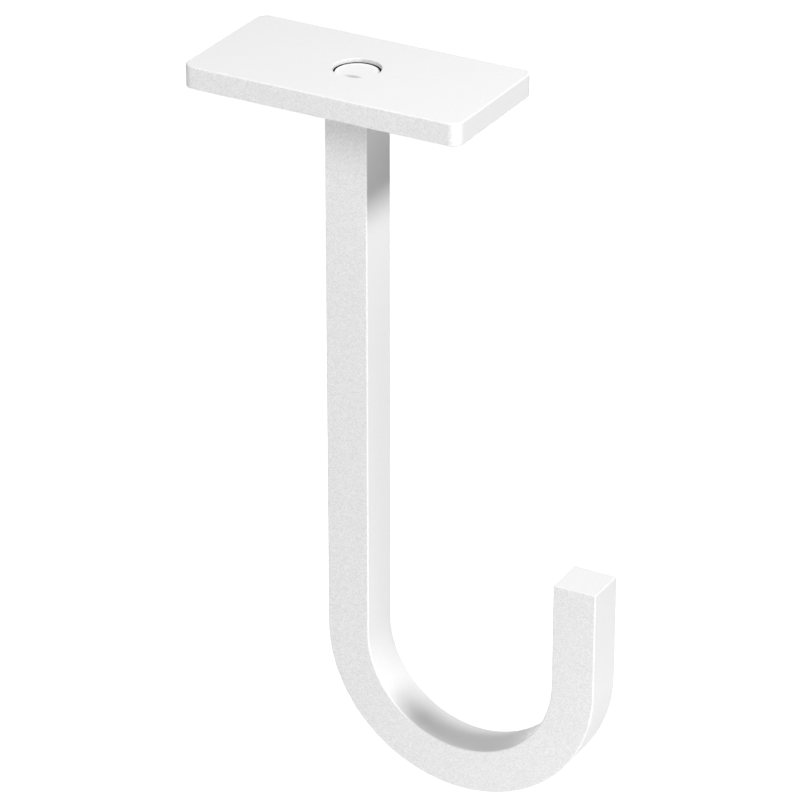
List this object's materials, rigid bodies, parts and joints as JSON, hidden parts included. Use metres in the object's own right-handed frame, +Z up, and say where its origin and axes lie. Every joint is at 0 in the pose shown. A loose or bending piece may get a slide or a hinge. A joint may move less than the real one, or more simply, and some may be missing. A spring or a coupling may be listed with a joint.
{
  "type": "utility hook",
  "caption": "J-shaped hanging hook bent from square bar, its round tenon seated in the stepped centre hole of a flat rounded-corner mounting plate, with a fine-grained white coat.",
  "frame": {"origin": "centre of the mounting plate's top face", "axes": "+Z up, out of the plate's top face; +X along the plate's length, towards the hook's tip; +Y to the back, across the plate"},
  "size_m": [0.0925, 0.0324, 0.163],
  "materials": {
    "white_coat": "fine-grained white powder coat over steel, satin"
  },
  "bodies": {
    "root": {"mounting_plate": "white_coat", "hook_bar": "white_coat"}
  },
  "joints": []
}
